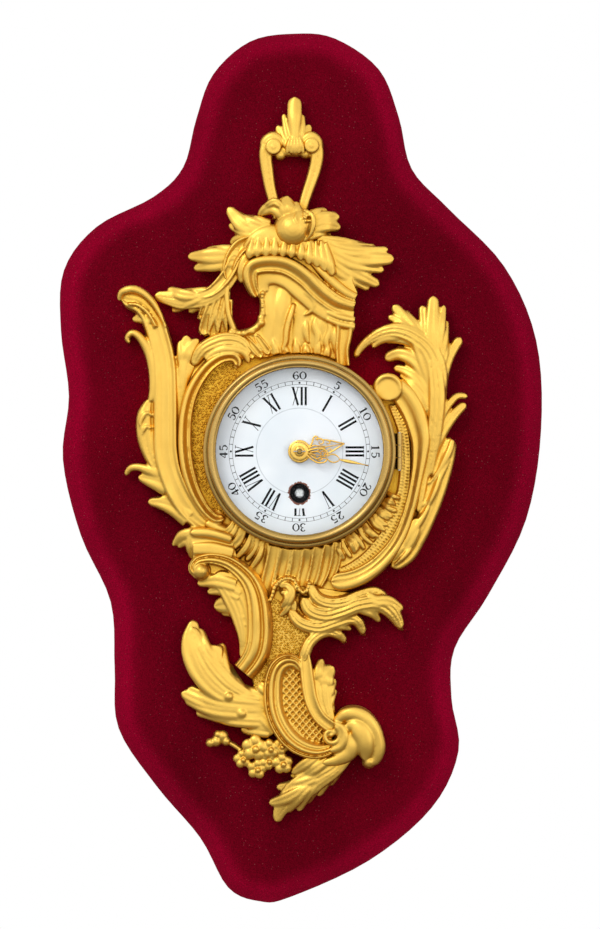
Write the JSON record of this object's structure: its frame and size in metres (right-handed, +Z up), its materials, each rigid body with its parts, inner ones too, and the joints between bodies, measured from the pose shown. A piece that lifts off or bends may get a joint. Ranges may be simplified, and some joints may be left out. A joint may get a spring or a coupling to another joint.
{
  "type": "cartel clock",
  "caption": "Rococo gilt-bronze cartel wall clock with enamel dial, hinged glazed bezel and spring-driven movement, mounted on a shaped velvet-covered board.",
  "frame": {"origin": "on the wall plane, at the dial's axis", "axes": "+Z up, -Y towards the viewer, +X to the viewer's right"},
  "size_m": [0.2424, 0.0472, 0.4367],
  "materials": {
    "gilt_bronze": "fire-gilt, burnished on the high places",
    "bezel_brass": "worn gilt",
    "gilt_hand": "gilt, pierced and chased",
    "movement_brass": "brushed",
    "steel": "polished",
    "enamel": "white enamel on copper",
    "clear_glass": "clear, domed",
    "velvet": "cut pile",
    "board_wood": "plain"
  },
  "bodies": {
    "case": {"case_body": "gilt_bronze", "case_hinge": "gilt_bronze", "left_c_scroll": "gilt_bronze", "right_c_scroll": "gilt_bronze", "rocaille_apron": "gilt_bronze", "hood": "gilt_bronze", "crest_leaves": "gilt_bronze", "pomegranate": "gilt_bronze", "hanging_loop": "gilt_bronze", "loop_finial": "gilt_bronze", "left_branch": "gilt_bronze", "right_branch": "gilt_bronze", "lower_console": "gilt_bronze", "console_leaves": "gilt_bronze", "cartouche": "gilt_bronze", "volute_head": "gilt_bronze", "bottom_leaf": "gilt_bronze", "left_leaf_spray": "gilt_bronze", "flower_spray": "gilt_bronze", "front_plate": "movement_brass", "back_plate": "movement_brass", "pillars": "movement_brass", "hanger_plate": "steel", "hanger_screws": "steel", "case_screws": "steel", "movement_screws": "steel", "hinge_pin": "steel", "pillar_screws": "steel", "click_screw": "steel", "click_spring": "steel", "minute_wheel_stud": "steel", "wood_board": "board_wood", "velvet_cover": "velvet", "enamel_dial": "enamel"},
    "bezel": {"bezel_ring": "bezel_brass", "glass": "clear_glass", "glass_retaining_ring": "movement_brass", "bezel_catch": "movement_brass"},
    "minute_hand": {"minute_hand": "gilt_hand", "hand_collet": "gilt_hand", "cannon_pinion": "movement_brass"},
    "hour_hand": {"hour_hand": "gilt_hand", "hour_wheel": "movement_brass"},
    "minute_wheel": {"minute_wheel": "movement_brass"},
    "fourth_wheel": {"fourth_wheel": "movement_brass"},
    "centre_wheel": {"centre_wheel": "movement_brass", "taper_pin": "steel"},
    "third_wheel": {"third_wheel": "movement_brass"},
    "barrel": {"barrel": "movement_brass", "barrel_cap": "movement_brass", "mainspring": "steel"},
    "escape_wheel": {"escape_wheel": "steel"},
    "winding_arbor": {"barrel_arbor": "steel", "ratchet_wheel": "steel"},
    "click": {"click": "steel"},
    "pallet_lever": {"pallet_lever": "steel"},
    "balance": {"balance_wheel": "movement_brass", "hairspring": "steel"}
  },
  "joints": [
    {"name": "bezel_hinge", "type": "hinge", "parent": "case", "child": "bezel", "pos_m": [0.0495, -0.0385, 0], "axis": [0, 0, 1], "range_deg": [0, 100]},
    {"name": "minute_hand_turn", "type": "hinge", "parent": "case", "child": "minute_hand", "pos_m": [0, 0, 0], "axis": [0, 1, 0], "continuous": true},
    {"name": "hour_hand_turn", "type": "hinge", "parent": "case", "child": "hour_hand", "pos_m": [0, 0, 0], "axis": [0, 1, 0], "continuous": true},
    {"name": "minute_wheel_turn", "type": "hinge", "parent": "case", "child": "minute_wheel", "pos_m": [-0.01091, 0, 0.0063], "axis": [0, 1, 0], "continuous": true},
    {"name": "fourth_wheel_turn", "type": "hinge", "parent": "case", "child": "fourth_wheel", "pos_m": [-0.00304, 0, 0.01921], "axis": [0, 1, 0], "continuous": true},
    {"name": "centre_wheel_turn", "type": "hinge", "parent": "case", "child": "centre_wheel", "pos_m": [0, 0, 0], "axis": [0, 1, 0], "continuous": true},
    {"name": "third_wheel_turn", "type": "hinge", "parent": "case", "child": "third_wheel", "pos_m": [0.00756, 0, 0.01309], "axis": [0, 1, 0], "continuous": true},
    {"name": "barrel_turn", "type": "hinge", "parent": "case", "child": "barrel", "pos_m": [0, 0, -0.02075], "axis": [0, 1, 0], "continuous": true},
    {"name": "escape_wheel_turn", "type": "hinge", "parent": "case", "child": "escape_wheel", "pos_m": [-0.01305, 0, 0.01921], "axis": [0, 1, 0], "continuous": true},
    {"name": "winding_arbor_turn", "type": "hinge", "parent": "case", "child": "winding_arbor", "pos_m": [0, 0, -0.02075], "axis": [0, 1, 0], "range_deg": [0, 1800]},
    {"name": "click_lift", "type": "hinge", "parent": "case", "child": "click", "pos_m": [0.012, 0, -0.02415], "axis": [0, 1, 0], "range_deg": [0, 12], "stiffness_Nm_per_rad": 0.001},
    {"name": "lever_rock", "type": "hinge", "parent": "case", "child": "pallet_lever", "pos_m": [-0.01764, 0, 0.016], "axis": [0, 1, 0], "range_deg": [-5, 5]},
    {"name": "balance_swing", "type": "hinge", "parent": "case", "child": "balance", "pos_m": [-0.02378, 0, 0.0117], "axis": [0, 1, 0], "range_deg": [-135, 135], "stiffness_Nm_per_rad": 0.00001}
  ],
  "couplings": [
    {"joint": "hour_hand_turn", "follows": "minute_hand_turn", "ratio": 0.083333},
    {"joint": "minute_wheel_turn", "follows": "minute_hand_turn", "ratio": -0.33333},
    {"joint": "third_wheel_turn", "follows": "fourth_wheel_turn", "ratio": -0.13333},
    {"joint": "centre_wheel_turn", "follows": "fourth_wheel_turn", "ratio": 0.016667},
    {"joint": "barrel_turn", "follows": "fourth_wheel_turn", "ratio": -0.0033333},
    {"joint": "escape_wheel_turn", "follows": "fourth_wheel_turn", "ratio": -10}
  ]
}
